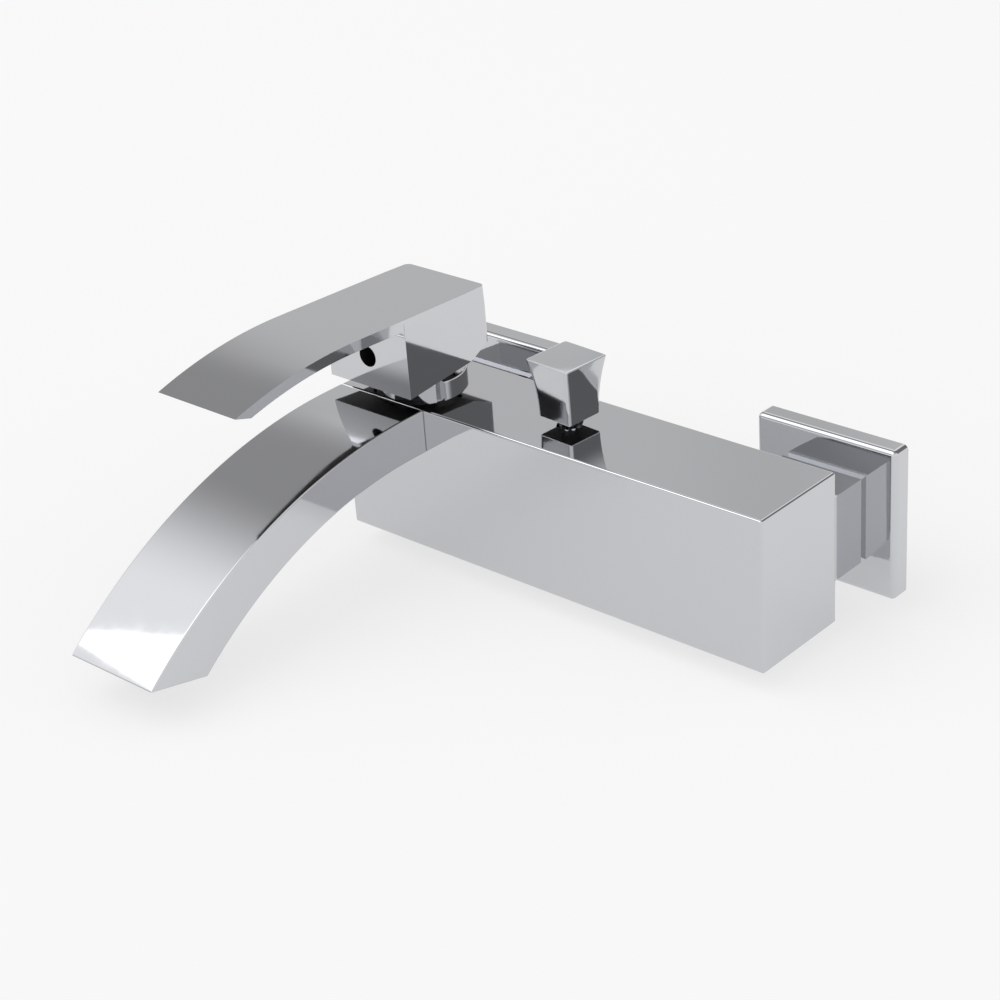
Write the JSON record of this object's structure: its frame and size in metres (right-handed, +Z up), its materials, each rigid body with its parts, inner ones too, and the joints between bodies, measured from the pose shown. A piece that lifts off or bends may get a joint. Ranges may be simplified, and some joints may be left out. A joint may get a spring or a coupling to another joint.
{
  "type": "exposed bath and shower mixer",
  "caption": "Wall mounted exposed bath and shower mixer: square bar body, arched cascade spout, single lever, pull-up diverter and hose outlet.",
  "frame": {"origin": "on the wall's face, midway between the two inlets, at the body's mid height", "axes": "+X to the right seen from the front, +Y into the wall, +Z up"},
  "size_m": [0.2074, 0.2244, 0.1031],
  "materials": {
    "chrome_body": "bright chrome plating, polished",
    "chrome_spout": "bright chrome plating, polished",
    "chrome_handle": "bright chrome plating, polished",
    "chrome_knob": "bright chrome plating, polished",
    "chrome_ring": "bright chrome plating, polished",
    "chrome_gland": "bright chrome plating, polished",
    "chrome_rod": "bright chrome plating, polished",
    "chrome_outlet": "bright chrome plating, polished",
    "chrome_nuts": "bright chrome plating, polished",
    "chrome_flanges": "bright chrome plating, polished",
    "brass_fittings": "turned, bare",
    "brass_inside": "turned, bare",
    "steel_inside": "plain",
    "rubber": "matt black",
    "former_plastic": "moulded",
    "cartridge_plastic": "moulded",
    "rotor_plastic": "moulded",
    "ceramic": "lapped alumina ceramic"
  },
  "bodies": {
    "mixer_body": {"body_block": "chrome_body", "spout": "chrome_spout", "cartridge_nut": "chrome_ring", "diverter_gland": "chrome_gland", "shower_outlet": "chrome_outlet", "left_union_nut": "chrome_nuts", "right_union_nut": "chrome_nuts", "left_wall_flange": "chrome_flanges", "right_wall_flange": "chrome_flanges", "left_inlet_tail": "brass_fittings", "right_inlet_tail": "brass_fittings", "left_wall_union": "brass_fittings", "right_wall_union": "brass_fittings", "diverter_seat": "brass_inside", "spout_screws": "steel_inside", "diverter_spring": "steel_inside", "spout_seal": "rubber", "port_seals": "rubber", "rod_seal": "rubber", "outlet_seal": "rubber", "left_filter_washer": "rubber", "right_filter_washer": "rubber", "flow_former": "former_plastic", "cartridge_base": "cartridge_plastic", "cartridge_housing": "cartridge_plastic", "fixed_disc": "ceramic"},
    "cartridge_rotor": {"rotor": "rotor_plastic", "pivot_pin": "steel_inside"},
    "ceramic_slide": {"moving_disc": "ceramic", "disc_carrier": "cartridge_plastic"},
    "lever": {"handle": "chrome_handle", "handle_screw": "steel_inside", "lever_stem": "steel_inside"},
    "diverter_plunger": {"poppet": "brass_inside", "poppet_washers": "rubber"},
    "diverter_pull": {"knob": "chrome_knob", "diverter_rod": "chrome_rod", "rod_clip": "steel_inside"}
  },
  "joints": [
    {"name": "temperature_turn", "type": "hinge", "parent": "mixer_body", "child": "cartridge_rotor", "pos_m": [-0.075, -0.051, 0.02675], "axis": [0, 0, 1], "range_deg": [-45, 45]},
    {"name": "flow_lift", "type": "hinge", "parent": "cartridge_rotor", "child": "lever", "pos_m": [-0.075, -0.051, 0.02675], "axis": [-1, 0, 0], "range_deg": [0, 22]},
    {"name": "disc_shift", "type": "slide", "parent": "cartridge_rotor", "child": "ceramic_slide", "axis": [0, -1, 0], "range_m": [0, 0.0022]},
    {"name": "diverter_lift", "type": "slide", "parent": "mixer_body", "child": "diverter_plunger", "axis": [0, 0, 1], "range_m": [0, 0.008], "stiffness_N_per_m": 200, "springref_m": -0.01, "deforming": ["diverter_spring"]},
    {"name": "knob_spin", "type": "hinge", "parent": "diverter_plunger", "child": "diverter_pull", "pos_m": [-0.0025, -0.051, 0.03], "axis": [0, 0, 1], "continuous": true}
  ],
  "couplings": [
    {"joint": "disc_shift", "follows": "flow_lift", "m_per_rad": 0.0056}
  ]
}
